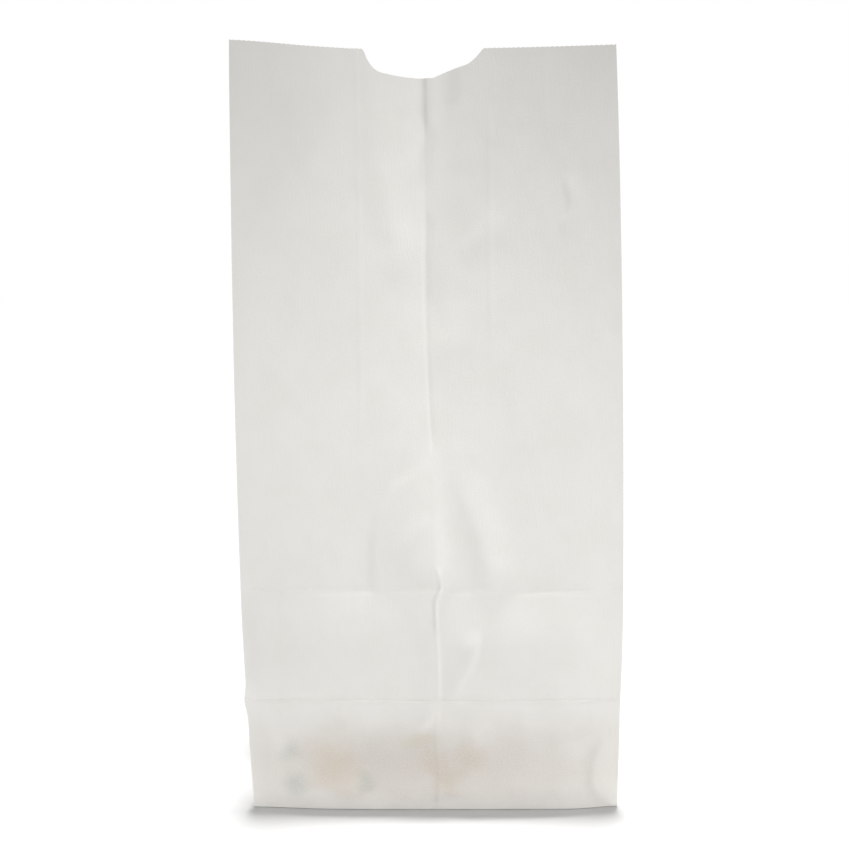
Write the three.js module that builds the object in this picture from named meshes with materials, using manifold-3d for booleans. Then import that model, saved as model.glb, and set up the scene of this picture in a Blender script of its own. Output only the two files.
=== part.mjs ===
// A white paper grocery bag of the self-opening kind, standing open and empty.
// Millimetres, Z up, the notched front towards -Y, the flat underside on Z = 0.
// The bag is one folded sheet. It is drawn flat first, with s along the sheet and v up it.
// Then it is folded up.
import * as THREE from "three";
import { mergeGeometries, mergeVertices } from "three/addons/utils/BufferGeometryUtils.js";
import Module from "manifold-3d";

const wasm = await Module();
wasm.setup();

// The flat sheet
const bagWidth = 168.3; // front and back panels
const bagDepth = 104.8; // each side gusset, and the bottom
const bagHeight = 339.7;
const paperThickness = 0.1;
const lapWidth = 16; // the glued joint down the back, two layers thick
const lapOffset = 22; // from the middle of the back
const flapOverlap = 18; // where the two bottom flaps are glued together
const flapInset = 0.3; // the flaps' folds lie this far inside the walls
const foldMargin = 1.5; // the turn from a wall into its flap takes up this much of the bottom
const stepWidth = 0.3; // the sheet steps over another layer's edge in this width
const glueBite = 0.01; // glued layers of the bottom reach this far into each other

// The cut edge at the mouth
const toothPitch = 2.1;
const toothDepth = 0.35;
const notchWidth = 51.5;
const notchDepth = 11.5;
const notchEndWidth = 9; // the steep part at each end
const notchEndDepth = 9.2;
const notchTurnIn = 4; // that part turns towards the bottom this far in from the notch's end
const notchTurnUp = 1.4; // and this far above where it ends

// How the folded bag stands
const bandSquash = 0.03; // height that the two bulging bands at the front give up
const lean = -5.5; // sideways shift of the mouth
const cornerPull = 2; // each bottom corner is drawn in
const footBow = 0.8; // the middle of the bottom's long edges stands out
const frontStandOff = 6; // the front wall above the bands stands this far out past the bottom edge
const creaseStandOff = 3; // and the crease between the bands this far
const lowBandBulge = 5;
const highBandBulge = 4.5;
const bulgeAtSides = 0.35; // share of a band's bulge that is left at the side folds
const mouthVee = 18; // the middle of the mouth's front edge is pressed in
const veeFade = 1.6; // how quickly that dies away down the wall
const mouthHalfDepth = 51;
const backBulge = 5;
const backBulgeAtSides = 2;
const mouthBackBow = 9; // the middle of the mouth's back edge stands out
const backDrop = 2.5; // the back wall stands this much lower
const gussetTuckLow = 6; // the middle of each gusset is tucked in, where its creases meet
const gussetTuckMouth = 15;

// How finely the folded sheet is divided
const panelColumns = 12;
const sideColumns = 3; // of the back, on each side of the lap
const gussetColumns = 4; // an even number
const bandRows = 4;
const wallRows = 8;
const mouthBand = 24; // the strip that carries the notch and the teeth
const notchSteps = 5;
const atColumn = 0.02; // a point of the cut edge this near a column's side is taken to be on it
const samePoint = 0.003; // and points this near each other to be one

const halfWidth = bagWidth / 2;
const lowCrease = bagDepth / 2; // the fold of the flat package, and the height where the gusset creases meet
const highCrease = bagDepth; // the edge of the flat package's bottom is pressed into the front here
const rowTop = bagHeight - mouthBand;
const sheetLength = 2 * (bagWidth + bagDepth);
const frontRight = halfWidth;
const backRight = frontRight + bagDepth;
const backLeft = backRight + bagWidth;
const lapStart = backRight + halfWidth - lapOffset - lapWidth / 2;
const lapEnd = lapStart + lapWidth;
const backParts = [
  [backRight, lapStart - stepWidth, sideColumns],
  [lapStart - stepWidth, lapStart, 1],
  [lapStart, lapEnd, 1],
  [lapEnd, lapEnd + stepWidth, 1],
  [lapEnd + stepWidth, backLeft, sideColumns],
];
const footHeight = 2.5 * paperThickness; // the walls end halfway through the third layer from below

// Height in the standing bag of a point v up the flat sheet.
function standingHeight(v) {
  return footHeight + v - bandSquash * Math.min(v, highCrease);
}

const creaseHeight = standingHeight(lowCrease);
const wallFoot = standingHeight(highCrease);
const mouthHeight = standingHeight(bagHeight);

// 0 below low, 1 above high, and a smooth rise between them.
function rise(z, low, high) {
  return THREE.MathUtils.smoothstep(z, low, high);
}

// How far the front's middle is pressed in at height z.
function veeAt(z) {
  const up = Math.max(0, (z - wallFoot) / (mouthHeight - wallFoot));
  return mouthVee * up ** veeFade;
}

function leanAt(z) {
  return lean * (z / mouthHeight);
}

// Half the bag's width at height z: what the pressed-in middle leaves of it, less the pull on the corners.
function halfWidthAt(z) {
  const drawnIn = cornerPull * (1 - rise(z, 0, wallFoot));
  return Math.sqrt(halfWidth ** 2 - veeAt(z) ** 2) - drawnIn;
}

// Where the front's side edges stand, as a distance in front of the bag's middle.
function frontEdgeAt(z) {
  const foot = bagDepth / 2;
  if (z <= creaseHeight) return foot + (creaseStandOff * z) / creaseHeight;
  if (z <= wallFoot) {
    const part = (z - creaseHeight) / (wallFoot - creaseHeight);
    return foot + creaseStandOff + (frontStandOff - creaseStandOff) * part;
  }
  const up = (z - wallFoot) / (mouthHeight - wallFoot);
  return THREE.MathUtils.lerp(foot + frontStandOff, mouthHalfDepth, up ** veeFade);
}

function backEdgeAt(z) {
  const up = z / mouthHeight;
  const straight = THREE.MathUtils.lerp(bagDepth / 2, mouthHalfDepth, up);
  return straight + backBulgeAtSides * Math.sin(Math.PI * up);
}

// How far the two bands below the wall bulge forward at height z.
function bandBulgeAt(z) {
  if (z < creaseHeight) return lowBandBulge * Math.sin((Math.PI * z) / creaseHeight);
  if (z > wallFoot) return 0;
  return highBandBulge * Math.sin((Math.PI * (z - creaseHeight)) / (wallFoot - creaseHeight));
}

function frontPoint(across, z) {
  const held = THREE.MathUtils.lerp(1, bulgeAtSides, across ** 4);
  const bow = footBow * (1 - across ** 2);
  const y = -frontEdgeAt(z) - bow - bandBulgeAt(z) * held + veeAt(z) * (1 - Math.abs(across));
  return new THREE.Vector3(across * halfWidthAt(z) + leanAt(z), y, z);
}

function backPoint(across, z) {
  const up = (z - footHeight) / (mouthHeight - footHeight);
  const lower = z - backDrop * up * (1 - across ** 2);
  const bow = footBow + backBulge * Math.sin(Math.PI * up) + mouthBackBow * up ** 2;
  const y = backEdgeAt(z) + bow * (1 - across ** 2);
  return new THREE.Vector3(across * halfWidthAt(z) + leanAt(z), y, lower);
}

// The middle fold of a gusset. side is 1 at the right and -1 at the left.
function tuckPoint(side, z) {
  const up = Math.max(0, (z - creaseHeight) / (mouthHeight - creaseHeight));
  const tuck = THREE.MathUtils.lerp(gussetTuckLow, gussetTuckMouth, up);
  const y = (backEdgeAt(z) - frontEdgeAt(z)) / 2;
  return new THREE.Vector3(side * (halfWidthAt(z) - tuck) + leanAt(z), y, z);
}

// A point of a gusset, from 0 at its front edge to 1 at its back edge.
// Below the middle fold two slanting folds run down to the bottom corners, with a triangle between them.
function gussetPoint(side, along, z) {
  const front = frontPoint(side, z);
  const back = backPoint(side, z);
  if (z >= creaseHeight) {
    const middle = tuckPoint(side, z);
    if (along <= 0.5) return front.lerp(middle, along * 2);
    return middle.lerp(back, along * 2 - 1);
  }
  const up = (z - footHeight) / (creaseHeight - footHeight);
  if (up < 1e-6) return front.lerp(back, along);
  const apex = tuckPoint(side, creaseHeight);
  const frontFold = frontPoint(side, footHeight).lerp(apex, up);
  const backFold = backPoint(side, footHeight).lerp(apex, up);
  const foldAt = up / 2;
  if (along <= foldAt) return front.lerp(frontFold, along / foldAt);
  if (along >= 1 - foldAt) return back.lerp(backFold, (1 - along) / foldAt);
  return frontFold.lerp(backFold, (along - foldAt) / (1 - 2 * foldAt));
}

// The place in the standing bag of a point of the flat sheet.
function folded(s, v) {
  const z = standingHeight(v);
  if (s <= frontRight) return frontPoint(s / halfWidth, z);
  if (s <= backRight) return gussetPoint(1, (s - frontRight) / bagDepth, z);
  if (s <= backLeft) return backPoint(1 - (s - backRight) / halfWidth, z);
  return gussetPoint(-1, 1 - (s - backLeft) / bagDepth, z);
}

// How many layers of paper lie at a point of the flat sheet.
function layersAt(s, v) {
  const inLap = s > lapStart - stepWidth / 2 && s < lapEnd + stepWidth / 2;
  return inLap && v > 0 ? 2 : 1;
}

function foldUp(flat) {
  const at = flat.attributes.position;
  const layers = new Float32Array(at.count);
  for (let i = 0; i < at.count; i += 1) {
    layers[i] = layersAt(at.getX(i), at.getY(i));
    const p = folded(at.getX(i), at.getY(i));
    at.setXYZ(i, p.x, p.y, p.z);
  }
  flat.setAttribute("layers", new THREE.BufferAttribute(layers, 1));
  return flat;
}

// A rectangle of the flat sheet.
function block(s0, s1, v0, v1, columns, rows) {
  const plane = new THREE.PlaneGeometry(s1 - s0, v1 - v0, columns, rows);
  return plane.translate((s0 + s1) / 2, (v0 + v1) / 2, 0);
}

// The triangles at the foot of a gusset: one beside each side fold, and one on the bottom edge.
function gussetFoot(s0) {
  const s1 = s0 + bagDepth;
  const middle = (s0 + s1) / 2;
  const halfColumns = gussetColumns / 2;
  const besideFold = (s) => {
    const upFold = Array.from({ length: bandRows + 1 }, (_, i) => [s, (lowCrease * i) / bandRows]);
    const alongCrease = Array.from({ length: halfColumns }, (_, i) => {
      return [THREE.MathUtils.lerp(s, middle, (i + 1) / halfColumns), lowCrease];
    });
    return [...upFold, ...alongCrease];
  };
  const onBottom = [[s0, 0], [s1, 0], [middle, lowCrease]];
  return [besideFold(s0), besideFold(s1), onBottom].map((outline) => {
    const corners = outline.map(([s, v]) => new THREE.Vector2(s, v));
    return new THREE.ShapeGeometry(new THREE.Shape(corners));
  });
}

// The notch as a curve in the front panel: a steep end, a knee and a shallow bottom, and the same again.
function notchOutline() {
  const half = notchWidth / 2;
  const knee = half - notchEndWidth;
  const kneeHeight = bagHeight - notchEndDepth;
  const bottom = bagHeight - notchDepth;
  const turnX = half - notchTurnIn;
  const turnHeight = kneeHeight + notchTurnUp;
  const notch = new THREE.Path();
  notch.moveTo(-half, bagHeight);
  notch.quadraticCurveTo(-turnX, turnHeight, -knee, kneeHeight);
  notch.quadraticCurveTo(-knee / 2, bottom, 0, bottom);
  notch.quadraticCurveTo(knee / 2, bottom, knee, kneeHeight);
  notch.quadraticCurveTo(turnX, turnHeight, half, bagHeight);
  return notch.getPoints(notchSteps);
}

// The cut edge from s0 to s1: a zigzag that begins and ends in a valley.
// Where there is no room for a tooth it is straight.
function toothedEdge(s0, s1) {
  const halves = Math.max(1, 2 * Math.round((s1 - s0) / toothPitch));
  return Array.from({ length: halves + 1 }, (_, i) => {
    const isPoint = i % 2 === 1 && i < halves;
    const height = isPoint ? bagHeight : bagHeight - toothDepth;
    return new THREE.Vector2(s0 + ((s1 - s0) * i) / halves, height);
  });
}

// The whole cut edge of one panel, from left to right.
function cutEdge(s0, s1, withNotch) {
  if (!withNotch) return toothedEdge(s0, s1);
  const half = notchWidth / 2;
  const left = toothedEdge(s0, -half).slice(0, -1);
  const right = toothedEdge(half, s1).slice(1);
  return [...left, ...notchOutline(), ...right];
}

// Height of a cut edge at s.
function edgeHeight(edge, s) {
  const next = Math.max(1, edge.findIndex((p) => p.x >= s - 1e-9));
  const a = edge[next - 1];
  const b = edge[next];
  return THREE.MathUtils.lerp(a.y, b.y, (s - a.x) / (b.x - a.x));
}

// The strip between the top row of the walls and the cut edge, one shape for each column.
function mouthStrip(s0, s1, columns, withNotch) {
  const edge = cutEdge(s0, s1, withNotch);
  return Array.from({ length: columns }, (_, i) => {
    const left = s0 + ((s1 - s0) * i) / columns;
    const right = s0 + ((s1 - s0) * (i + 1)) / columns;
    const between = edge.filter((p) => p.x > left + atColumn && p.x < right - atColumn).toReversed();
    const corners = [
      new THREE.Vector2(left, rowTop),
      new THREE.Vector2(right, rowTop),
      new THREE.Vector2(right, edgeHeight(edge, right)),
      ...between,
      new THREE.Vector2(left, edgeHeight(edge, left)),
    ];
    return new THREE.ShapeGeometry(new THREE.Shape(corners));
  });
}

// One panel from the row at v0 up to the cut edge.
function panel(s0, s1, columns, v0, withNotch = false) {
  const pieces = mouthStrip(s0, s1, columns, withNotch);
  if (v0 < lowCrease) pieces.push(block(s0, s1, 0, lowCrease, columns, bandRows));
  pieces.push(block(s0, s1, lowCrease, highCrease, columns, bandRows));
  pieces.push(block(s0, s1, highCrease, rowTop, columns, wallRows));
  return pieces;
}

// The bottom's plan, as distances from its middle: the corners, the flaps' folds, and the free edges of
// the turned-in sides.
function bottomPlan() {
  const corner = halfWidthAt(0) - flapInset;
  return { corner, fold: bagDepth / 2 - flapInset, free: corner - (bagDepth + flapOverlap) / 2 };
}

// Where the walls meet the bottom, in order round the bag.
function footOutline() {
  const stations = [];
  [[-halfWidth, frontRight, panelColumns], ...backParts].forEach(([s0, s1, columns]) => {
    for (let i = 0; i < columns; i += 1) stations.push(s0 + ((s1 - s0) * i) / columns);
    if (s1 === frontRight || s1 === backLeft) stations.push(s1);
  });
  return stations.map((s) => {
    const p = folded(s, 0);
    return new THREE.Vector2(p.x, p.y);
  });
}

// The two sides' turned-in ends, facing down. Along the front and the back they are joined by the turn of
// the wall into its flap, and between them only the flaps close the bottom.
function turnedInSides() {
  const shape = new THREE.Shape(footOutline());
  const { free, fold } = bottomPlan();
  if (free > foldMargin) {
    const edge = fold - foldMargin;
    const between = [[-free, -edge], [free, -edge], [free, edge], [-free, edge]];
    shape.holes.push(new THREE.Path(between.map(([x, y]) => new THREE.Vector2(x, y))));
  }
  const sheet = new THREE.ShapeGeometry(shape);
  sheet.translate(0, 0, footHeight);
  const index = sheet.index.array;
  for (let i = 0; i < index.length; i += 3) [index[i], index[i + 1]] = [index[i + 1], index[i]];
  const layers = new Float32Array(sheet.attributes.position.count).fill(1);
  return sheet.setAttribute("layers", new THREE.BufferAttribute(layers, 1));
}

// Joins shapes into one surface along the edges that they share.
function joined(geometries) {
  geometries.forEach((g) => {
    g.deleteAttribute("normal");
    g.deleteAttribute("uv");
  });
  const whole = mergeGeometries(geometries);
  const at = whole.attributes.position;
  const met = [];
  for (let i = 0; i < at.count; i += 1) {
    const p = new THREE.Vector3().fromBufferAttribute(at, i);
    const same = met.find((q) => q.distanceToSquared(p) < samePoint ** 2);
    if (same) at.setXYZ(i, same.x, same.y, same.z);
    else met.push(p);
  }
  return mergeVertices(whole, samePoint / 2);
}

// Walls and bottom as one open surface, halfway through the paper.
function bagSurface() {
  const walls = [
    ...panel(-halfWidth, frontRight, panelColumns, 0, true),
    ...panel(frontRight, backRight, gussetColumns, lowCrease),
    ...backParts.flatMap(([s0, s1, columns]) => panel(s0, s1, columns, 0)),
    ...panel(backLeft, sheetLength - halfWidth, gussetColumns, lowCrease),
    ...gussetFoot(frontRight),
    ...gussetFoot(backLeft),
  ];
  return joined([...walls.map(foldUp), turnedInSides()]);
}

// Sums each face's normal at its corners, weighted by the corner's angle.
function cornerNormals(at, index) {
  const sums = at.map(() => new THREE.Vector3());
  const faces = [];
  for (let i = 0; i < index.length; i += 3) {
    const ids = [index[i], index[i + 1], index[i + 2]];
    const [a, b, c] = ids.map((id) => at[id]);
    const normal = b.clone().sub(a).cross(c.clone().sub(a)).normalize();
    ids.forEach((id, k) => {
      const here = at[id];
      const one = at[ids[(k + 1) % 3]].clone().sub(here);
      const other = at[ids[(k + 2) % 3]].clone().sub(here);
      const angle = one.angleTo(other);
      sums[id].addScaledVector(normal, angle);
      faces.push({ id, normal, angle });
    });
  }
  return { sums, faces };
}

// For each point, the way out of the sheet, long enough that both faces keep their distance at a fold.
function offsetsOf(at, index) {
  const { sums, faces } = cornerNormals(at, index);
  sums.forEach((v) => v.normalize());
  const reach = at.map(() => [0, 0]);
  faces.forEach(({ id, normal, angle }) => {
    reach[id][0] += angle * sums[id].dot(normal);
    reach[id][1] += angle;
  });
  sums.forEach((v, i) => {
    v.multiplyScalar(reach[i][1] / reach[i][0]);
    if (at[i].z <= footHeight + 1e-4) v.z = -1; // the bottom stays flat
  });
  return sums;
}

// Gives an open surface the paper's thickness: a face on each side and a rim round the open edge.
// The layers past the first lie on the outside.
function thickened(surface) {
  const place = surface.attributes.position;
  const layers = surface.attributes.layers.array;
  const at = Array.from({ length: place.count }, (_, i) => {
    return new THREE.Vector3().fromBufferAttribute(place, i);
  });
  const index = [...surface.index.array];
  const offsets = offsetsOf(at, index);
  const shifted = (distance) => at.flatMap((p, i) => {
    return p.clone().addScaledVector(offsets[i], distance(layers[i])).toArray();
  });
  const outer = shifted((count) => (count - 0.5) * paperThickness);
  const inner = shifted(() => -0.5 * paperThickness);
  const count = at.length;
  const triangles = [...index];
  const edges = new Set();
  for (let i = 0; i < index.length; i += 3) {
    const ids = [index[i], index[i + 1], index[i + 2]];
    triangles.push(ids[0] + count, ids[2] + count, ids[1] + count);
    ids.forEach((id, k) => edges.add(`${id},${ids[(k + 1) % 3]}`));
  }
  edges.forEach((edge) => {
    const [a, b] = edge.split(",").map(Number);
    if (edges.has(`${b},${a}`)) return;
    triangles.push(b, a, a + count, b, a + count, b + count);
  });
  return new wasm.Manifold(new wasm.Mesh({
    numProp: 3,
    vertProperties: new Float32Array([...outer, ...inner]),
    triVerts: new Uint32Array(triangles),
  }));
}

function solidOf(geometry) {
  const merged = joined([geometry]);
  return new wasm.Manifold(new wasm.Mesh({
    numProp: 3,
    vertProperties: merged.attributes.position.array,
    triVerts: new Uint32Array(merged.index.array),
  }));
}

// A layer of the glued bottom, counted from below, as a slab over a plan.
function layer(plan, number) {
  const corners = plan.map(([x, y]) => new THREE.Vector2(x, y));
  const slab = { depth: paperThickness + glueBite, bevelEnabled: false };
  const geometry = new THREE.ExtrudeGeometry(new THREE.Shape(corners), slab);
  return geometry.translate(0, 0, (number - 1) * paperThickness);
}

// The part of a bottom flap between two distances from its fold: side is -1 at the front and 1 at the back.
// The flap narrows along the slanting folds at its ends.
function flapPart(side, near, far, number) {
  const { corner, fold } = bottomPlan();
  const plan = [[-1, near], [1, near], [1, far], [-1, far]];
  return layer(plan.map(([end, inward]) => [end * (corner - inward), side * (fold - inward)]), number);
}

// Under the flaps each side's turned-in end lies double, out to the flaps' slanting folds.
function doubledEnd(side) {
  const { corner, fold, free } = bottomPlan();
  const plan = [[corner, -fold], [corner - fold, 0], [corner, fold], [free, fold], [free, -fold]];
  return layer(plan.map(([x, y]) => [side * x, y]), 4).translate(0, 0, -glueBite);
}

// The front flap, and glued over it the edge of the back flap, on which the bag stands.
function bagSolid() {
  const { fold } = bottomPlan();
  const past = flapOverlap / 2;
  const glued = [
    flapPart(-1, 0, fold + past, 2),
    flapPart(1, 0, fold, 2),
    flapPart(1, fold - past - stepWidth, fold + past, 1),
    doubledEnd(-1),
    doubledEnd(1),
  ];
  return glued.reduce((bag, piece) => bag.add(solidOf(piece)), thickened(bagSurface()));
}

function geometryOf(solid) {
  const mesh = solid.getMesh();
  const geometry = new THREE.BufferGeometry();
  geometry.setAttribute("position", new THREE.BufferAttribute(new Float32Array(mesh.vertProperties), 3));
  geometry.setIndex(new THREE.BufferAttribute(new Uint32Array(mesh.triVerts), 1));
  geometry.computeVertexNormals();
  return geometry;
}

const paper = new THREE.MeshStandardMaterial({
  color: 0xf0ede6,
  roughness: 0.85,
  metalness: 0,
  flatShading: true,
});
const bag = new THREE.Mesh(geometryOf(bagSolid()), paper);
bag.name = "paper_bag";

const model = new THREE.Group();
model.add(bag);
export default model;
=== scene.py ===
import math

import bmesh
import bpy
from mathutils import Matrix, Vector, noise


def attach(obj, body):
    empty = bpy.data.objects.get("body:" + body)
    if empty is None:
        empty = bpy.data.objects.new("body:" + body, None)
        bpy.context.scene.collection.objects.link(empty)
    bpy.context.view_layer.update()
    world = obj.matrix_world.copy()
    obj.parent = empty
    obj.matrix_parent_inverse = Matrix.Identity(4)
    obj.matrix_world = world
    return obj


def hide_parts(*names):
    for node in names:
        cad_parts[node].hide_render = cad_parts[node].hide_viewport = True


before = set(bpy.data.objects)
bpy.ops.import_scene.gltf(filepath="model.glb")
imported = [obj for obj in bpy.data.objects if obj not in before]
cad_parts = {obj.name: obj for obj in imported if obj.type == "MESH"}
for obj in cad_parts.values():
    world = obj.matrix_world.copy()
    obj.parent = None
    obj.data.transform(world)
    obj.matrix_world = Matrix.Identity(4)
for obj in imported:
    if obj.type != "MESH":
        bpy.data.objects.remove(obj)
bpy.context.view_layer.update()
scene = bpy.context.scene

# The folded sheet, in millimetres. The mesh is brought to metres at the end.
sheet = {
    "width": 168.3,
    "depth": 104.8,
    "height": 339.7,
    "paper": 0.1,
    "layerStep": 0.11,  # from one glued layer to the next
    "lapWidth": 16,
    "lapOffset": 22,  # from the middle of the back to the middle of the joint
    "lapStep": 1.5,  # the sheet climbs over the joint's inner edge in this width
    "flapOverlap": 18,
    "toothDepth": 0.25,
    "toothPitch": 2.104,  # 80 to the panel
    "notchWidth": 53.5,
    "notchDepth": 12.4,
    # Each half of the thumb notch: a steep curve down to a knee, then a gentle one to the flat.
    # Places are from the middle and down from the top, and the pulls bend the two curves.
    "notchLeft": {
        "knee": (18.3, 10.3),
        "steepPull": (24.2, 9.2),
        "gentlePull": (8.4, 12.4),
        "flat": 0,
    },
    "notchRight": {
        "knee": (18.5, 7.2),
        "steepPull": (22.0, 6.0),
        "gentlePull": (9.6, 9.6),
        "flat": 4.2,
    },
    "mouthBand": 24,  # rows within this height of the mouth are bent to follow its cut
}

# How finely the flat sheet is divided into columns and rows
grid = {
    "backColumns": (18, 10),  # left and right of the glued joint
    "lapStepColumns": 2,
    "lapColumns": 4,
    "gussetColumns": 12,  # in each half
    "middleTeeth": 6,  # the front's middle, this many teeth wide, has its columns closer together
    "middleColumns": 36,
    "besideCrease": (0.5, 1.2, 2.2, 3.6),  # the rows nearest a crease, in millimetres from it
    "underRows": 10,  # of the strip that is folded under
    "bandRows": 20,
    "wallRows": 94,
    "mouthRows": 14,
}

# How it stands, in millimetres
stand = {
    "footHeight": 0.25,
    "bandSquash": 0.03,  # the slack bands stand this much lower, as a part of their height
    "lean": -5.5,  # of the mouth, to the right
    "cornerPull": 2,  # the foot's corners are drawn in
    "footBow": 0.8,
    "frontStandOff": 6,  # of the front's edges at the high crease
    "creaseStandOff": 3,  # and at the low crease
    "lowBandBulge": 4.8,
    "highBandBulge": 3.4,
    "highBandSag": 0.7,  # below 1 the bulge is fullest below its middle
    "bulgeAtSides": 0.35,  # of the bulge in the middle
    "mouthVee": 18,  # the front's middle lies this deep at the mouth
    "veeFade": 1.6,  # and deepens as this power of the height
    "mouthHalfDepth": 51,
    "backBulge": 5,
    "backBulgeAtSides": 2,
    "mouthBackBow": 9,
    "backDrop": 2.5,  # the back's middle stands lower at the mouth
    "gussetTuckLow": 6,  # the gussets' middle folds are drawn in, at the low crease
    "gussetTuckMouth": 15,  # and at the mouth
}

# The closed bottom, in millimetres. A level is the number of layers between it and the table.
bottom = {
    "flapLevel": 1.5,
    "triangleLevel": 2.5,
    "sideLevel": 3.5,
    "flapStep": 1.5,  # the back flap steps down to lie outside the front flap in this width
    "bowFade": 3,  # the bow of the foot fades out in this width
    "turnWidth": 1,  # the sheet turns under in this width
}

halfWidth = sheet["width"] / 2
depth = sheet["depth"]
gussetMiddle = halfWidth + depth / 2
backRight = halfWidth + depth
around = 2 * (sheet["width"] + depth)
lapStart = backRight + halfWidth - sheet["lapOffset"] - sheet["lapWidth"] / 2
lapEnd = lapStart + sheet["lapWidth"]
foldUnder = (depth + sheet["flapOverlap"]) / 2
lowCrease = depth / 2
highCrease = depth
rowTop = sheet["height"] - sheet["mouthBand"]
tolerance = 1e-3  # places of the flat sheet nearer than this are the same
cutTolerance = 1e-4  # and a cut passes through points nearer than this
metre = 1000  # millimetres


# The value a part of the way from one to another
def mix(a, b, t):
    return a + (b - a) * t


# Rises smoothly from 0 to 1 between two values
def rise(x, low, high):
    t = min(1.0, max(0.0, (x - low) / (high - low)))
    return t * t * (3 - 2 * t)


# Height of a place of the standing bag, from its height on the flat sheet
def standingHeight(v):
    return stand["footHeight"] + v - stand["bandSquash"] * min(v, highCrease)


creaseHeight = standingHeight(lowCrease)
wallFoot = standingHeight(highCrease)
mouthHeight = standingHeight(sheet["height"])


# How far up the wall above the two bands a height is, from 0 to 1
def upWall(z):
    return max(0.0, (z - wallFoot) / (mouthHeight - wallFoot))


# How deep the front's middle lies behind its edges
def veeAt(z):
    return stand["mouthVee"] * upWall(z) ** stand["veeFade"]


# How far the bag leans to the right
def leanAt(z):
    return stand["lean"] * z / mouthHeight


# Half the bag's width, which is less where the front runs aslant into the vee, and at the foot
def halfWidthAt(z):
    drawnIn = stand["cornerPull"] * (1 - rise(z, 0, wallFoot))
    return math.sqrt(halfWidth**2 - veeAt(z) ** 2) - drawnIn


# How far the front's edges stand before the middle of the bag, and the back's edges behind it
def frontEdgeAt(z):
    foot = depth / 2
    if z <= creaseHeight:
        return foot + stand["creaseStandOff"] * z / creaseHeight
    if z <= wallFoot:
        part = (z - creaseHeight) / (wallFoot - creaseHeight)
        return foot + mix(stand["creaseStandOff"], stand["frontStandOff"], part)
    part = upWall(z) ** stand["veeFade"]
    return mix(foot + stand["frontStandOff"], stand["mouthHalfDepth"], part)


def backEdgeAt(z):
    up = z / mouthHeight
    bulge = stand["backBulgeAtSides"] * math.sin(math.pi * up)
    return mix(depth / 2, stand["mouthHalfDepth"], up) + bulge


# How far the two slack bands at the foot bulge
def bandBulgeAt(z):
    if z < creaseHeight:
        return stand["lowBandBulge"] * math.sin(math.pi * max(0, z) / creaseHeight)
    if z > wallFoot:
        return 0
    up = (z - creaseHeight) / (wallFoot - creaseHeight)
    return stand["highBandBulge"] * math.sin(math.pi * up ** stand["highBandSag"])


# Points of the front and of the back, across from -1 at the left edge to 1 at the right edge
def frontPoint(across, z):
    held = mix(1, stand["bulgeAtSides"], across**4)
    bow = stand["footBow"] * (1 - across**2)
    y = -frontEdgeAt(z) - bow - bandBulgeAt(z) * held + veeAt(z) * (1 - abs(across))
    return Vector((across * halfWidthAt(z) + leanAt(z), y, z))


def backPoint(across, z):
    up = (z - stand["footHeight"]) / (mouthHeight - stand["footHeight"])
    middle = 1 - across**2
    bow = stand["footBow"] + stand["backBulge"] * math.sin(math.pi * up)
    bow += stand["mouthBackBow"] * up**2
    x = across * halfWidthAt(z) + leanAt(z)
    return Vector((x, backEdgeAt(z) + bow * middle, z - stand["backDrop"] * up * middle))


# A point of a gusset's middle fold, which is drawn in. The side is -1 on the left, 1 on the right.
def tuckPoint(side, z):
    up = max(0.0, (z - creaseHeight) / (mouthHeight - creaseHeight))
    tuck = mix(stand["gussetTuckLow"], stand["gussetTuckMouth"], up)
    x = side * (halfWidthAt(z) - tuck) + leanAt(z)
    return Vector((x, (backEdgeAt(z) - frontEdgeAt(z)) / 2, z))


# A point of a gusset, from 0 at its front edge to 1 at its back edge, with its folds
def gussetPoint(side, along, z):
    front, back = frontPoint(side, z), backPoint(side, z)
    if z >= creaseHeight:
        middle = tuckPoint(side, z)
        if along <= 0.5:
            return front.lerp(middle, along * 2)
        return middle.lerp(back, along * 2 - 1)
    up = max(0.0, (z - stand["footHeight"]) / (creaseHeight - stand["footHeight"]))
    if up == 0:
        return front.lerp(back, along)
    apex = tuckPoint(side, creaseHeight)
    frontFold = frontPoint(side, stand["footHeight"]).lerp(apex, up)
    backFold = backPoint(side, stand["footHeight"]).lerp(apex, up)
    foldAt = up / 2
    if along <= foldAt:
        return front.lerp(frontFold, along / foldAt)
    if along >= 1 - foldAt:
        return back.lerp(backFold, (1 - along) / foldAt)
    return frontFold.lerp(backFold, (along - foldAt) / (1 - 2 * foldAt))


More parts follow.
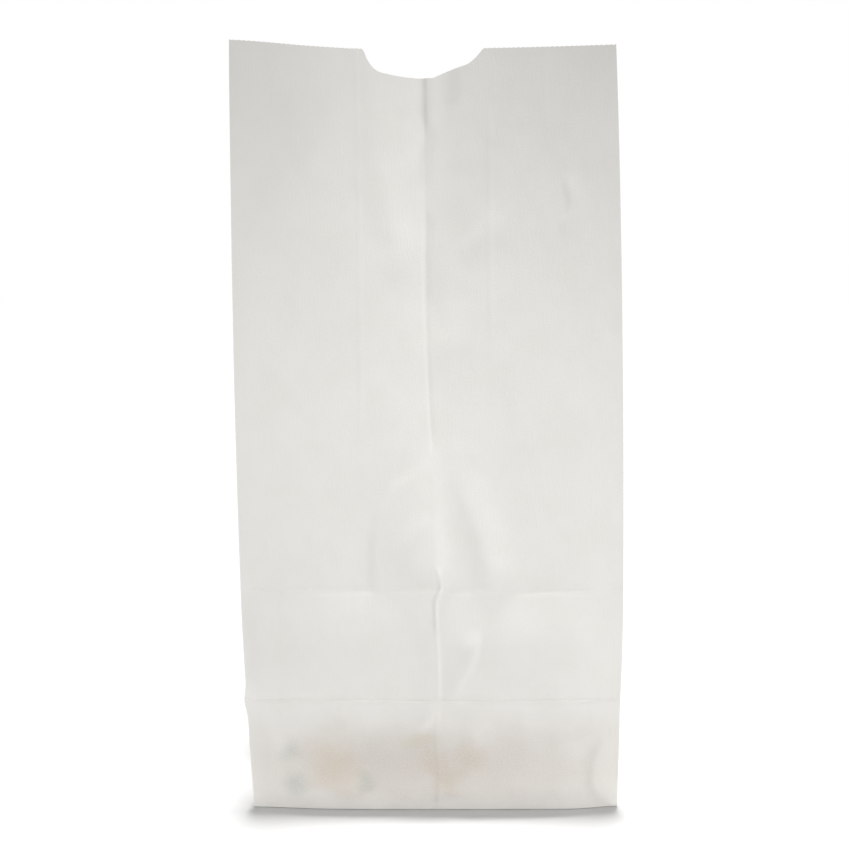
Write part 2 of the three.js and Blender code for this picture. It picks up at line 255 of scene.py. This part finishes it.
# Soft folds and creases of the front, in millimetres on the flat sheet: across from the middle,
# and up. Each runs upward or to the right through its points. It stands out by its height, or lies
# in where that is below nothing, falls away over the widths on its left and its right, and dies
# away over its fade at both ends. Two heights or widths are those at its start and at its end.
frontFolds = [
    # the middle crease of the flat package: a ridge at the notch, and a groove below it
    {"points": [(-1.0, 284), (0.6, 297), (2.3, 306), (1.6, 316), (1.7, 327), (1.7, 370)],
     "left": (2.0, 2.6), "right": (3, 7), "height": (0.3, 3.4), "fade": 14},
    {"points": [(-0.7, 212), (-1.1, 240), (-0.8, 258), (0.1, 268)],
     "left": 1.0, "right": 1.4, "height": -0.26, "fade": 6},
    {"points": [(1.2, 168), (0.2, 188), (-0.7, 212)],
     "left": 0.9, "right": 1.2, "height": -0.22, "fade": 8},
    {"points": [(1.6, 85.4), (1.4, 100), (3.7, 104.9), (4.1, 108), (2.5, 112.9)],
     "left": 0.9, "right": 0.9, "height": 0.6, "fade": 3},
    {"points": [(2.1, 52.6), (1.9, 73.2), (1.6, 85.4)],
     "left": 8, "right": 1.1, "height": 0.7, "fade": 4},
    {"points": [(1.3, 1.8), (2.1, 20), (0.8, 36), (1.5, 47.7)],
     "left": 1.0, "right": 1.4, "height": 0.26, "fade": 3},
    # the two soft ridges that run together below the notch, and the folds between them
    {"points": [(-12.9, 241), (-12, 254), (-16.3, 265), (-19.2, 279), (-21.5, 296), (-22.7, 309),
                (-23.5, 370)],
     "left": 7, "right": 7.5, "height": 0.5, "fade": 12},
    {"points": [(2.4, 236), (3.4, 252), (4.9, 267), (7.4, 278), (9.8, 288), (12.5, 297),
                (15.2, 306), (17.2, 315), (20, 370)],
     "left": (2.5, 8), "right": (8, 28), "height": (0.45, 2.6), "fade": 10},
    {"points": [(16.9, 252), (26.3, 263), (28.1, 268)],
     "left": 3, "right": 8, "height": 0.3, "fade": 6},
    {"points": [(-3, 205), (12, 214), (26, 232)], "left": 9, "right": 8, "height": 0.3, "fade": 16},
    # the tent-shaped facet above the high crease
    {"points": [(0.6, 107), (0.5, 127), (0.6, 136), (0.6, 172)],
     "left": 15, "right": 6, "height": (2.6, 0), "fade": 7},
    {"points": [(26, 107), (23.2, 126), (17.7, 140), (13.5, 152), (12, 172)],
     "left": 6, "right": 10, "height": (1.7, 0), "fade": 7},
    {"points": [(-29, 104), (-28.2, 130), (-25, 141), (-19.1, 152), (-7.2, 160), (-1.5, 164)],
     "left": 12, "right": 3, "height": (-1.2, -0.1), "fade": 12},
    {"points": [(-16.2, 120), (-2, 135)], "left": 4, "right": 3, "height": 0.2, "fade": 5},
    # short creases in the two low bands
    {"points": [(8.3, 54.6), (16.8, 71.3), (20, 82.6)],
     "left": 6, "right": 1.1, "height": 1.1, "fade": 6},
    {"points": [(15, 78), (72, 78)], "left": 24, "right": 14, "height": 0.8, "fade": 14},
    {"points": [(-40.5, 54), (-32.6, 61.8)], "left": 3, "right": 1.0, "height": 0.3, "fade": 3},
    {"points": [(-42, 48), (-40.6, 52)], "left": 1.0, "right": 1.2, "height": 0.3, "fade": 2},
    {"points": [(-7.2, 39.7), (1.5, 47.2)], "left": 6, "right": 1.2, "height": 1.4, "fade": 4},
    {"points": [(15.6, 36.2), (25.9, 44.9)], "left": 7, "right": 2.0, "height": 1.0, "fade": 5},
    {"points": [(2, 7), (10, 13), (19, 22)], "left": 4, "right": 1.8, "height": 1.1, "fade": 5},
    {"points": [(-2.7, 0.5), (0, 6.8)], "left": 1.2, "right": 1.2, "height": -0.5, "fade": 2},
    # the lower right corner, pressed in
    {"points": [(53.8, 29.4), (58.9, 33.3), (76.8, 35.3)],
     "left": 4, "right": 1.4, "height": 0.7, "fade": 5},
    {"points": [(77.6, 4.7), (72.8, 13.6), (73.2, 24.8), (78.1, 35.3)],
     "left": 3.4, "right": 11, "height": 2.0, "fade": 8},
    {"points": [(-84, 0.5), (-75, 4.6), (-64, 5.4)],
     "left": 1.4, "right": 1.4, "height": 0.22, "fade": 3},
    # the bottom fold's edge stands out a little
    {"points": [(-84, 5.6), (84, 4.6)], "left": 6, "right": 3.4, "height": -0.3, "fade": 1},
    {"points": [(-77, 58), (-76, 76), (-78, 98)], "left": 6, "right": 7, "height": 0.6, "fade": 8},
    {"points": [(-75.2, 3), (-74.2, 25), (-74.6, 44)],
     "left": 5, "right": 4, "height": 0.5, "fade": 6},
    # the nick near the right edge
    {"points": [(59.1, 262), (62.6, 268), (63.2, 274), (60.8, 283)],
     "left": 1.3, "right": 5.0, "height": 0.45, "fade": 4},
    # grooves where the flat package was folded
    {"points": [(-halfWidth, highCrease), (halfWidth, highCrease)],
     "left": 1.9, "right": 1.2, "height": -0.46, "fade": 1},
    {"points": [(-halfWidth, lowCrease), (halfWidth, lowCrease)],
     "left": 10, "right": 0.9, "height": -0.7, "fade": 1},
    # the gussets' middle folds, pressed through from the flat package
    {"points": [(-30, 175), (-29.4, 214), (-29.2, 260), (-29.2, 302), (-30.3, 345)],
     "left": 0.9, "right": 0.9, "height": 0.16, "fade": 12},
    {"points": [(27.4, 215), (27.6, 251), (28.6, 312)],
     "left": 0.9, "right": 0.9, "height": 0.16, "fade": 12},
    {"points": [(53.3, 290), (53.3, 340)], "left": 1.0, "right": 1.0, "height": 0.06, "fade": 12},
]

foldReach = 2.6  # beyond this many of its widths a fold is nearly nothing, and is left out

# Places where the standing bag is pushed, in millimetres: centre, reach along each axis, and push
nudges = [
    # the lower right corner, and the lower left one
    {"at": (83, -53, 0), "reach": (14, 26, 42), "push": (0.1, 3.0, 0)},
    {"at": (-83, -53, 0), "reach": (26, 22, 26), "push": (0.3, 2.2, 0)},
    # the left end of the low crease
    {"at": (-85, -54, 50.5), "reach": (7, 14, 5), "push": (-1.3, 0, 0)},
    # the top left corner comes forward
    {"at": (-88, -51, 337), "reach": (30, 20, 40), "push": (0, -3.0, 1.5)},
    # the front's edges stand back at the bands
    {"at": (-88, -58, 80), "reach": (22, 16, 60), "push": (0, 2.8, 0)},
    {"at": (84, -58, 80), "reach": (18, 16, 60), "push": (0, 2.8, 0)},
]

nudgeFade = (2, 4)  # squares of the distance, in reaches, between which a push fades out

# Slight waves of handled paper, in millimetres: how far apart, and how high. The seed picks one
# pattern of many.
waves = [
    {"apart": (46, 70), "height": 0.55, "seed": 3.7},
    {"apart": (17, 24), "height": 0.16, "seed": 8.8},
    {"apart": (6, 9), "height": 0.055, "seed": 13.9},
]

# Where folds and waves grow calm, so that the bag's own edges stay straight
calm = {
    "frontEdge": (0.93, 0.75),  # from this part of the half width outwards, and by how much
    "backEdge": (0.9, 1.0),
    "gussetSlope": 12,  # full height is reached at a twelfth of the gusset's width
    "foot": 14,  # in millimetres
    "mouth": (30, 0.5),  # within this many millimetres, and by how much
}


# Distance from a line through points, above 0 on its left, the place along it, and its length
def beside(points, s, v):
    best, walked = None, 0.0
    last = len(points) - 2
    for number, ((s0, v0), (s1, v1)) in enumerate(zip(points, points[1:])):
        ds, dv = s1 - s0, v1 - v0
        length = math.hypot(ds, dv)
        t = ((s - s0) * ds + (v - v0) * dv) / length**2
        clamped = min(1.0, max(0.0, t))
        away = math.hypot(s - s0 - clamped * ds, v - v0 - clamped * dv)
        if best is None or away < best[0]:
            cross = ds * (v - v0) - dv * (s - s0)
            past = (number == 0 and t < 0) or (number == last and t > 1)
            along = walked + (t if past else clamped) * length
            best = (away, away if cross > 0 else -away, along)
        walked += length
    return best[1], best[2], walked


# A value at a fold's start and at its end, which is given once where they are the same
def startAndEnd(value):
    return value if isinstance(value, tuple) else (value, value)


# Each fold with the part of the flat sheet that it reaches, from left to right and from low to high
def foldsWithReach():
    placed = []
    for fold in frontFolds:
        widest = max(*startAndEnd(fold["left"]), *startAndEnd(fold["right"]))
        reach = foldReach * widest + fold["fade"]
        across, up = zip(*fold["points"])
        box = (min(across) - reach, max(across) + reach, min(up) - reach, max(up) + reach)
        placed.append((fold, box))
    return placed


placedFolds = foldsWithReach()


# How far the front stands out at a place of the flat sheet
def foldHeight(s, v):
    total = 0.0
    for fold, (left, right, low, high) in placedFolds:
        if not (left < s < right and low < v < high):
            continue
        away, along, length = beside(fold["points"], s, v)
        share = min(1.0, max(0.0, along / length))
        width = mix(*startAndEnd(fold["left"] if away > 0 else fold["right"]), share)
        height = mix(*startAndEnd(fold["height"]), share)
        fade = fold["fade"]
        ends = rise(along, -fade, fade) * rise(length - along, -fade, fade)
        total += height * math.exp(-((away / width) ** 2)) * ends
    return total


# How far the slight waves stand out there, which is nothing at the foot
def waveHeight(s, v, z):
    nearMouth, share = calm["mouth"]
    fade = rise(z, 0, calm["foot"]) * (1 - share * rise(z, mouthHeight - nearMouth, mouthHeight))
    total = 0.0
    for wave in waves:
        across, up = wave["apart"]
        total += wave["height"] * noise.noise(Vector((s / across, v / up, wave["seed"])))
    return total * fade


# Which panel a place across the flat sheet lies on, as a name and a place within it. The corners
# belong to the gussets.
def panelAt(s):
    if s < -backRight:
        s += around
    if abs(s) < halfWidth - tolerance:
        return "front", s / halfWidth
    if -backRight <= s < 0:
        return "left", (-halfWidth - s) / depth
    if s <= backRight + tolerance:
        return "right", (s - halfWidth) / depth
    return "back", 1 - (s - backRight) / halfWidth


# Which way each panel faces
outward = {"front": (0, -1), "back": (0, 1), "left": (-1, 0), "right": (1, 0)}


# The place of a point of the wall, in the standing bag
def wallPoint(s, v):
    panel, part = panelAt(s)
    z = standingHeight(v)
    if panel == "front":
        p = frontPoint(part, z)
    elif panel == "back":
        p = backPoint(part, z)
    else:
        p = gussetPoint(1 if panel == "right" else -1, part, z)
    away = waveHeight(s, v, z)
    if panel == "front":
        away += foldHeight(s, v)
        start, share = calm["frontEdge"]
        away *= 1 - share * rise(abs(part), start, 1.0)
    elif panel == "back":
        start, share = calm["backEdge"]
        away *= 1 - share * rise(abs(part), start, 1.0)
        if s > 0:
            away += sheet["layerStep"] * rise(s, lapStart - sheet["lapStep"], lapStart)
    else:
        away *= min(1.0, calm["gussetSlope"] * part, calm["gussetSlope"] * (1 - part))
    x, y = outward[panel]
    return p + Vector((x * away, y * away, 0))


# The place of a point of the strip that is folded under: flaps, triangles and turned-in sides
def underPoint(s, v):
    panel, part = panelAt(s)
    inner = -v  # distance from the foot
    shrink = halfWidthAt(0) / halfWidth
    fold = depth / 2
    if panel in ("left", "right"):
        side = 1 if panel == "right" else -1
        plan = (side * shrink * (halfWidth - inner), -fold + depth * part)
        level = bottom["sideLevel"]
    else:
        face = -1 if panel == "front" else 1
        side = 1 if part > 0 else -1
        fromEdge = halfWidth * (1 - abs(part))
        if inner <= fromEdge + cutTolerance:
            bow = stand["footBow"] * (1 - part**2) * max(0.0, 1 - inner / bottom["bowFade"])
            plan = (shrink * halfWidth * part, face * (fold + bow - inner))
            level = bottom["flapLevel"]
            if panel == "back":
                edge = fold - sheet["flapOverlap"] / 2
                level -= rise(inner, edge - bottom["flapStep"], edge)
        else:
            plan = (side * shrink * (halfWidth - inner), face * (fold - fromEdge))
            level = bottom["triangleLevel"]
    turned = rise(inner, 0, bottom["turnWidth"])
    return Vector((*plan, mix(stand["footHeight"], sheet["layerStep"] * level, turned)))


# A point of the standing bag after the pushes
def nudged(p):
    moved = p.copy()
    start, end = nudgeFade
    for nudge in nudges:
        far = sum(((a - b) / r) ** 2 for a, b, r in zip(p, nudge["at"], nudge["reach"]))
        if far < end:
            moved += Vector(nudge["push"]) * math.exp(-far) * (1 - rise(far, start, end))
    return moved


# Evenly spaced places from one to another, both included
def spread(low, high, count):
    return [mix(low, high, i / count) for i in range(count + 1)]


# Places of the columns, from the joint's left side round the bag to its right side
def columnPlaces():
    half = grid["gussetColumns"]
    pitch = sheet["toothPitch"]
    middle = grid["middleTeeth"] * pitch / 2
    toMiddle = round(2 * (halfWidth - middle) / pitch)  # two columns to a tooth
    lapFoot = lapStart - sheet["lapStep"]
    backLeft, backRest = grid["backColumns"]
    zones = [
        spread(lapStart - around, -backRight, backLeft),
        spread(-backRight, -gussetMiddle, half),
        spread(-gussetMiddle, -halfWidth, half),
        spread(-halfWidth, -middle, toMiddle),
        spread(-middle, middle, grid["middleColumns"]),
        spread(middle, halfWidth, toMiddle),
        spread(halfWidth, gussetMiddle, half),
        spread(gussetMiddle, backRight, half),
        spread(backRight, lapFoot, backRest),
        spread(lapFoot, lapStart, grid["lapStepColumns"]),
        spread(lapStart, lapEnd, grid["lapColumns"]),
    ]
    return [zones[0][0]] + [s for zone in zones for s in zone[1:]]


# Rows of a band from one crease to the next, closer together beside both
def bandRows(low, high):
    *close, inner = grid["besideCrease"]
    rows = [low + c for c in close] + spread(low + inner, high - inner, grid["bandRows"])
    return rows + [high - c for c in reversed(close)] + [high]


# Places of the rows, from the edge of the strip that is folded under up to the mouth
def rowPlaces():
    *close, inner = grid["besideCrease"]
    rows = spread(-foldUnder, 0, grid["underRows"])
    rows += bandRows(0, lowCrease) + bandRows(lowCrease, highCrease)
    rows += [highCrease + c for c in close] + spread(highCrease + inner, rowTop, grid["wallRows"])
    return rows + spread(rowTop, sheet["height"], grid["mouthRows"])[1:]


# A point on a quadratic curve whose place across is given
def onCurve(start, pull, end, s):
    low, high = 0.0, 1.0
    for _ in range(30):  # halvings, enough for the curve's length
        t = (low + high) / 2
        across = (1 - t) ** 2 * start[0] + 2 * t * (1 - t) * pull[0] + t**2 * end[0]
        low, high = (t, high) if across < s else (low, t)
    return (1 - t) ** 2 * start[1] + 2 * t * (1 - t) * pull[1] + t**2 * end[1]


# Height of the cut edge: fine teeth all round, and the thumb notch in the front
def cutHeight(s, column):
    top = sheet["height"]
    half = sheet["notchWidth"] / 2
    if panelAt(s)[0] != "front" or abs(s) >= half:
        return top - sheet["toothDepth"] * (column % 2)
    side = sheet["notchRight"] if s > 0 else sheet["notchLeft"]
    places = (side["knee"], side["steepPull"], side["gentlePull"])
    knee, steep, gentle = ((-x, top - y) for x, y in places)
    deepest = top - sheet["notchDepth"]
    if abs(s) > side["knee"][0]:
        return onCurve((-half, top), steep, knee, -abs(s))
    if abs(s) > side["flat"]:
        return onCurve(knee, gentle, (-side["flat"], deepest), -abs(s))
    return deepest


# The flat sheet, creased along every fold and cut at the mouth
def flatSheet():
    columns, rows = columnPlaces(), rowPlaces()
    across, up = len(columns) - 1, len(rows) - 1
    half = 0.5  # of the grid's side before its columns and rows are put in their places
    bm = bmesh.new()
    bmesh.ops.create_grid(bm, x_segments=across, y_segments=up, size=half)
    for vert in bm.verts:
        i, j = round((vert.co.x + half) * across), round((vert.co.y + half) * up)
        s, v = columns[i], rows[j]
        if v > rowTop:
            v = mix(rowTop, cutHeight(s, i), (v - rowTop) / (sheet["height"] - rowTop))
        vert.co = Vector((s, v, 0))
    corners = [(halfWidth, 1), (backRight, -1), (-halfWidth, -1), (-backRight, 1)]
    for corner, toward in corners:
        slit(bm, corner, toward, 0, lowCrease)
        slit(bm, corner, -toward, -foldUnder, 0)
    # the joint's lap ends at the foot, and isn't folded under
    middles = {face: face.calc_center_median() for face in bm.faces}
    spare = [face for face, middle in middles.items() if middle.y < 0 and middle.x > lapStart]
    bmesh.ops.delete(bm, geom=spare, context="FACES")
    return bm


# Cuts a slanting fold from a bottom corner, between two heights. It leaves to the right where
# toward is 1, and to the left where it is -1.
def slit(bm, corner, toward, low, high):
    far = corner + toward * (high - low)
    left, right = sorted((corner, far))
    faces = []
    for face in bm.faces:
        middle = face.calc_center_median()
        if left < middle.x < right and low < middle.y < high:
            faces.append(face)
    edges = list({e for f in faces for e in f.edges})
    verts = list({v for f in faces for v in f.verts})
    slope = toward if low >= 0 else -toward
    bmesh.ops.bisect_plane(
        bm,
        geom=verts + edges + faces,
        dist=cutTolerance,
        plane_co=(corner, 0, 0),
        plane_no=(slope, -1, 0),
    )


# Whether two places are the same
def same(a, b):
    return abs(a - b) < tolerance


# Whether an edge of the flat sheet lies on a fold that stays sharp
def isFold(a, b):
    corners = (-halfWidth, halfWidth, -backRight, backRight)
    if any(same(a.x, s) and same(b.x, s) for s in corners):
        return True
    onMiddle = any(same(a.x, s) and same(b.x, s) for s in (-gussetMiddle, gussetMiddle))
    if onMiddle and min(a.y, b.y) > lowCrease - tolerance:
        return True
    if same(a.y, 0) and same(b.y, 0):
        return True
    if same(a.y, lowCrease) and same(b.y, lowCrease):
        return panelAt((a.x + b.x) / 2)[0] != "back"
    for corner in corners:
        aside = [abs(p.x - corner) for p in (a, b)]
        slanting = all(same(x, abs(p.y)) for x, p in zip(aside, (a, b)))
        if slanting and max(aside) < foldUnder + tolerance:
            slantsUp = (corner > 0) == (abs(corner) < backRight)
            outer = a.x + b.x > 2 * corner
            return outer == slantsUp if a.y + b.y > 0 else outer != slantsUp
    return False


# The sheet folded to the standing bag. Its places on the flat sheet, in metres, stay as the UV map.
def foldedBag():
    bm = flatSheet()
    flat = bm.loops.layers.uv.new("flatSheet")
    for edge in bm.edges:
        a, b = edge.verts[0].co, edge.verts[1].co
        edge.smooth = not (edge.is_boundary or isFold(a, b))
    for face in bm.faces:
        face.smooth = True
        for loop in face.loops:
            loop[flat].uv = (loop.vert.co.x / metre, loop.vert.co.y / metre)
    for vert in bm.verts:
        s, v = vert.co.x, vert.co.y
        vert.co = nudged(underPoint(s, v) if v < -tolerance else wallPoint(s, v))
    bmesh.ops.scale(bm, vec=(1 / metre, 1 / metre, 1 / metre), verts=bm.verts)
    mesh = bpy.data.meshes.new("folded_sheet")
    bm.to_mesh(mesh)
    bm.free()
    bag = bpy.data.objects.new("folded_sheet", mesh)
    scene.collection.objects.link(bag)
    layer = bag.modifiers.new("thickness", "SOLIDIFY")
    layer.thickness = sheet["paper"] / metre
    layer.offset = 0
    return bag


bag = foldedBag()
print("sheet folded:", len(bag.data.polygons), "faces")


# An sRGB hex colour as linear red, green, blue and alpha
def linear(hexColour):
    channels = [int(hexColour[i : i + 2], 16) / 255 for i in (1, 3, 5)]
    return [c / 12.92 if c <= 0.04045 else ((c + 0.055) / 1.055) ** 2.4 for c in channels] + [1.0]


# Adds a node with its settings and inputs, and links an input that is given as a socket. An input
# is named with _ for its spaces, or as i and its number where several have the same name.
def addNode(tree, kind, settings=None, **inputs):
    node = tree.nodes.new(kind)
    for name, value in (settings or {}).items():
        setattr(node, name, value)
    for name, value in inputs.items():
        key = int(name[1:]) if name[0] == "i" and name[1:].isdigit() else name.replace("_", " ")
        if isinstance(value, bpy.types.NodeSocket):
            tree.links.new(value, node.inputs[key])
        else:
            node.inputs[key].default_value = value
    return node


# Bleached kraft paper, made on a machine with a wire: dull and slightly warm, cloudy where the
# fibres lie thicker, with a fine grain that runs up the sheet. A pattern's size is in millimetres,
# across and up, and it shows over the given range of its noise.
paper = {
    "colour": "#ebe9e5",
    "cloudColour": "#e9e7e2",
    "fibreColour": "#f0eee9",
    "fibreShare": 0.35,
    "roughness": (0.66, 0.78),
    "specular": 0.28,
    "cloud": {"size": (16, 22.86), "detail": 3, "roughness": 0.6, "range": (0.35, 0.7)},
    # real fibres are finer than the grain and the tooth, but these are the finest that show
    "grain": {"size": (0.9, 6.5), "detail": 2, "roughness": 0.5, "range": (0.55, 0.8)},
    "tooth": {"size": (0.7, 0.7), "detail": 2, "roughness": 0.6, "range": (0.3, 0.7)},
    "grainRelief": {"strength": 0.35, "depth": 0.12},  # depth in millimetres
    "toothRelief": {"strength": 0.5, "depth": 0.14},
}

# Faint stains on the lowest band, and painted shade that darkens it, as soft patches with uneven
# rims, grainy as the fibres take the stains up
stainAndShadeBlot = {
    "rim": {"size": (14.3, 14.3), "detail": 3, "roughness": 0.5},
    "rimShift": 12,  # millimetres, half of it to either side
    "spread": 1.25,  # a mark fades out at this many of its reaches
    "core": 0.1,  # and is even within this part of that
    "speckle": (0.85, 1.2),
}

# Their places on the flat sheet and their reaches, in millimetres: painted shade first, then stains
stainsAndPaintedShade = [
    # painted shade: two broad grey patches that darken the lowest band
    {"at": (-22, 25), "reach": (56, 18), "colour": "#b5aea5", "share": 0.26},
    {"at": (8, 21), "reach": (140, 27), "colour": "#bab0a7", "share": 0.42},
    # stains
    {"at": (-64.6, 29.8), "reach": (6, 6), "colour": "#97a79b", "share": 0.22},
    {"at": (-63.6, 13.1), "reach": (7, 6), "colour": "#8fa399", "share": 0.24},
    {"at": (-32, 14.3), "reach": (6, 6), "colour": "#97a79b", "share": 0.26},
    {"at": (-45.7, 23.5), "reach": (15, 16), "colour": "#cdae7e", "share": 0.18},
    {"at": (-7.2, 34.3), "reach": (10, 5), "colour": "#c9bd86", "share": 0.17},
    {"at": (-1, 24.4), "reach": (8, 7), "colour": "#bb9a66", "share": 0.13},
    {"at": (5.2, 15.9), "reach": (8, 9), "colour": "#ae9463", "share": 0.18},
    {"at": (15.6, 27.1), "reach": (9, 11), "colour": "#b9a67c", "share": 0.17},
    {"at": (29.6, 25.7), "reach": (15, 17), "colour": "#c9b3ad", "share": 0.08},
]


def paperMaterial():
    material = bpy.data.materials.new("bleached_kraft_paper")
    material.use_nodes = True
    tree = material.node_tree
    tree.nodes.clear()
    out = addNode(tree, "ShaderNodeOutputMaterial")
    flat = addNode(tree, "ShaderNodeUVMap", {"uv_map": "flatSheet"}).outputs["UV"]
    smooth = {"interpolation_type": "SMOOTHSTEP"}
    colours = {"data_type": "RGBA"}

    patterns = {name: paper[name] for name in ("cloud", "grain", "tooth")}
    patterns["rim"] = stainAndShadeBlot["rim"]
    noises = {}
    for name, facts in patterns.items():
        across, up = (metre / size for size in facts["size"])
        scaled = addNode(tree, "ShaderNodeMapping", Vector=flat, Scale=(across, up, 1))
        noises[name] = addNode(
            tree,
            "ShaderNodeTexNoise",
            Vector=scaled.outputs["Vector"],
            Scale=1,
            Detail=facts["detail"],
            Roughness=facts["roughness"],
        )
    cloud, grain, tooth = (noises[name].outputs["Fac"] for name in ("cloud", "grain", "tooth"))

    low, high = paper["cloud"]["range"]
    share = addNode(
        tree, "ShaderNodeMapRange", smooth, Value=cloud, From_Min=low, From_Max=high
    ).outputs["Result"]
    colour = addNode(
        tree,
        "ShaderNodeMix",
        colours,
        i0=share,
        i6=linear(paper["colour"]),
        i7=linear(paper["cloudColour"]),
    ).outputs[2]
    low, high = paper["grain"]["range"]
    share = addNode(
        tree,
        "ShaderNodeMapRange",
        smooth,
        Value=grain,
        From_Min=low,
        From_Max=high,
        To_Max=paper["fibreShare"],
    ).outputs["Result"]
    colour = addNode(
        tree, "ShaderNodeMix", colours, i0=share, i6=colour, i7=linear(paper["fibreColour"])
    ).outputs[2]

    low, high = paper["tooth"]["range"]
    spans = []
    for least, most in (stainAndShadeBlot["speckle"], paper["roughness"]):
        span = addNode(
            tree,
            "ShaderNodeMapRange",
            smooth,
            Value=tooth,
            From_Min=low,
            From_Max=high,
            To_Min=least,
            To_Max=most,
        )
        spans.append(span.outputs["Result"])
    speckle, rough = spans
    shift = stainAndShadeBlot["rimShift"] / metre
    shifted = addNode(
        tree,
        "ShaderNodeVectorMath",
        {"operation": "MULTIPLY_ADD"},
        i0=noises["rim"].outputs["Color"],
        i1=(shift, shift, 0),
        i2=flat,
    ).outputs["Vector"]
    # each stain, and each patch of painted shade on the lowest band, is mixed into the paper's
    # colour
    for mark in stainsAndPaintedShade:
        reach = [stainAndShadeBlot["spread"] * r / metre for r in mark["reach"]]
        centre = [a / metre + shift / 2 for a in mark["at"]]
        local = addNode(
            tree,
            "ShaderNodeMapping",
            Vector=shifted,
            Location=(-centre[0] / reach[0], -centre[1] / reach[1], 0),
            Scale=(1 / reach[0], 1 / reach[1], 0),
        ).outputs["Vector"]
        away = addNode(tree, "ShaderNodeVectorMath", {"operation": "LENGTH"}, i0=local)
        strength = addNode(
            tree,
            "ShaderNodeMapRange",
            smooth,
            Value=away.outputs["Value"],
            From_Min=stainAndShadeBlot["core"],
            To_Min=mark["share"],
            To_Max=0,
        ).outputs["Result"]
        strength = addNode(
            tree, "ShaderNodeMath", {"operation": "MULTIPLY"}, i0=strength, i1=speckle
        ).outputs[0]
        colour = addNode(
            tree, "ShaderNodeMix", colours, i0=strength, i6=colour, i7=linear(mark["colour"])
        ).outputs[2]

    facts = paper["grainRelief"]
    relief = addNode(
        tree,
        "ShaderNodeBump",
        Strength=facts["strength"],
        Distance=facts["depth"] / metre,
        Height=grain,
    ).outputs["Normal"]
    facts = paper["toothRelief"]
    relief = addNode(
        tree,
        "ShaderNodeBump",
        Strength=facts["strength"],
        Distance=facts["depth"] / metre,
        Height=tooth,
        Normal=relief,
    ).outputs["Normal"]
    shader = addNode(
        tree, "ShaderNodeBsdfPrincipled", Base_Color=colour, Roughness=rough, Normal=relief
    )
    shader.inputs["Specular IOR Level"].default_value = paper["specular"]
    tree.links.new(shader.outputs["BSDF"], out.inputs["Surface"])
    return material


bag.data.materials.append(paperMaterial())
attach(bag, "root")
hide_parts("paper_bag")
print("paper made")

# A pale table in a white room under a soft sun, a lamp at each side in front of the bag, and one
# far to the right, for the folds' relief. Places and sizes are in metres, powers in watts and
# angles in degrees.
studio = {
    "backdrop": 1.0,  # how bright the room looks
    "ambient": 0.42,  # how much light it gives
    "sun": {"tilt": -3, "spread": 8, "strength": 4.0},
    "lampAim": (0, -0.05, 0.14),
    "lamps": {
        "right_lamp": {"at": (0.42, -0.5, 0.16), "size": (0.15, 0.1), "spread": 95, "power": 0.235},
        "left_lamp": {"at": (-0.42, -0.5, 0.16), "size": (0.15, 0.1), "spread": 95, "power": 0.25},
        "far_right_lamp": {"at": (0.9, -0.7, 0.4), "size": (0.3, 0.3), "spread": 32, "power": 0.14},
    },
}

# Matt laminate: pale and even, with hardly any gloss, so that it takes only a soft shadow
table = {
    "colour": "#cfcfcf",
    "roughness": 0.9,
    "specular": 0.2,
    "front": -0.099,  # out of the picture, so that the table throws less light on the bag's front
    "reach": 6,
    "below": 0.0001,  # under the bag's foot
}


def makeFloor():
    bm = bmesh.new()
    bmesh.ops.create_grid(bm, x_segments=1, y_segments=1, size=table["reach"])
    middle = (0, table["front"] + table["reach"], -table["below"])
    bmesh.ops.translate(bm, vec=middle, verts=bm.verts)
    mesh = bpy.data.meshes.new("table_top")
    bm.to_mesh(mesh)
    bm.free()
    floor = bpy.data.objects.new("table_top", mesh)
    scene.collection.objects.link(floor)
    material = bpy.data.materials.new("matt_laminate")
    material.use_nodes = True
    shader = material.node_tree.nodes["Principled BSDF"]
    shader.inputs["Base Color"].default_value = linear(table["colour"])
    shader.inputs["Roughness"].default_value = table["roughness"]
    shader.inputs["Specular IOR Level"].default_value = table["specular"]
    mesh.materials.append(material)


def makeSun():
    data = bpy.data.lights.new("sun", "SUN")
    data.energy = studio["sun"]["strength"]
    data.angle = math.radians(studio["sun"]["spread"])
    sun = bpy.data.objects.new("sun", data)
    sun.rotation_euler = (math.radians(studio["sun"]["tilt"]), 0, 0)
    scene.collection.objects.link(sun)


def makeLamp(name, facts):
    data = bpy.data.lights.new(name, "AREA")
    data.shape = "RECTANGLE"
    data.size, data.size_y = facts["size"]
    data.energy = facts["power"]
    data.spread = math.radians(facts["spread"])
    lamp = bpy.data.objects.new(name, data)
    lamp.location = facts["at"]
    lamp.rotation_mode = "QUATERNION"
    toward = Vector(studio["lampAim"]) - lamp.location
    lamp.rotation_quaternion = toward.to_track_quat("-Z", "Y")
    lamp.visible_camera = False
    scene.collection.objects.link(lamp)


# The room gives less light than the camera sees in it, so that the backdrop is white
def makeWorld():
    world = bpy.data.worlds.new("white_room")
    scene.world = world
    world.use_nodes = True
    tree = world.node_tree
    back = tree.nodes["Background"]
    back.inputs["Color"].default_value = (1, 1, 1, 1)
    seen = addNode(tree, "ShaderNodeLightPath").outputs["Is Camera Ray"]
    level = addNode(
        tree, "ShaderNodeMapRange", Value=seen, To_Min=studio["ambient"], To_Max=studio["backdrop"]
    )
    tree.links.new(level.outputs["Result"], back.inputs["Strength"])


makeFloor()
makeSun()
for name, facts in studio["lamps"].items():
    makeLamp(name, facts)
makeWorld()

# The photograph's view
view = {
    "at": (-0.0047, -0.6584, 0.238),
    "pitch": 6.04,  # degrees downwards
    "lens": 59.04,  # millimetres, as the sensor
    "sensor": 36,
    "nearest": 0.01,  # metres
}
cameraData = bpy.data.cameras.new("camera")
cameraData.lens = view["lens"]
cameraData.sensor_width = view["sensor"]
cameraData.clip_start = view["nearest"]
camera = bpy.data.objects.new("camera", cameraData)
camera.location = view["at"]
camera.rotation_euler = (math.radians(90 - view["pitch"]), 0, 0)
scene.collection.objects.link(camera)
scene.camera = camera
scene.view_settings.view_transform = "Standard"  # whites stay white
print("lights and camera set")
